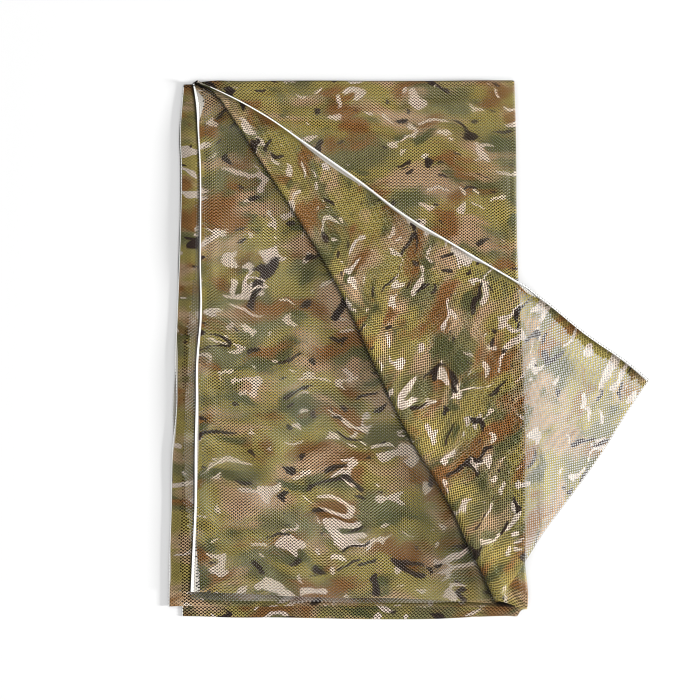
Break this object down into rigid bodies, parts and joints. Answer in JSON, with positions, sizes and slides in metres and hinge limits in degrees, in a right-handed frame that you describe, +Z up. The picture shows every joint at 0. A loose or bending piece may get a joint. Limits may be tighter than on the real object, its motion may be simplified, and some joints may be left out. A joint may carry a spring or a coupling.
{
  "type": "camouflage net",
  "caption": "Lightweight printed mesh cloth for concealment, folded flat with one corner of the top layer turned back",
  "frame": {"origin": "bottom centre of the bounding box, on the floor under the folded stack", "axes": "+Z up; +Y towards the top fold of the stack, along the cloth's length; +X towards the side fold and the turned-back corner"},
  "size_m": [1.0657, 1.21, 0.0436],
  "materials": {
    "printed_mesh": "matte printed polyester mesh, blotches of olive, green, brown, tan and cream"
  },
  "bodies": {
    "root": {"net": "printed_mesh"}
  },
  "joints": []
}
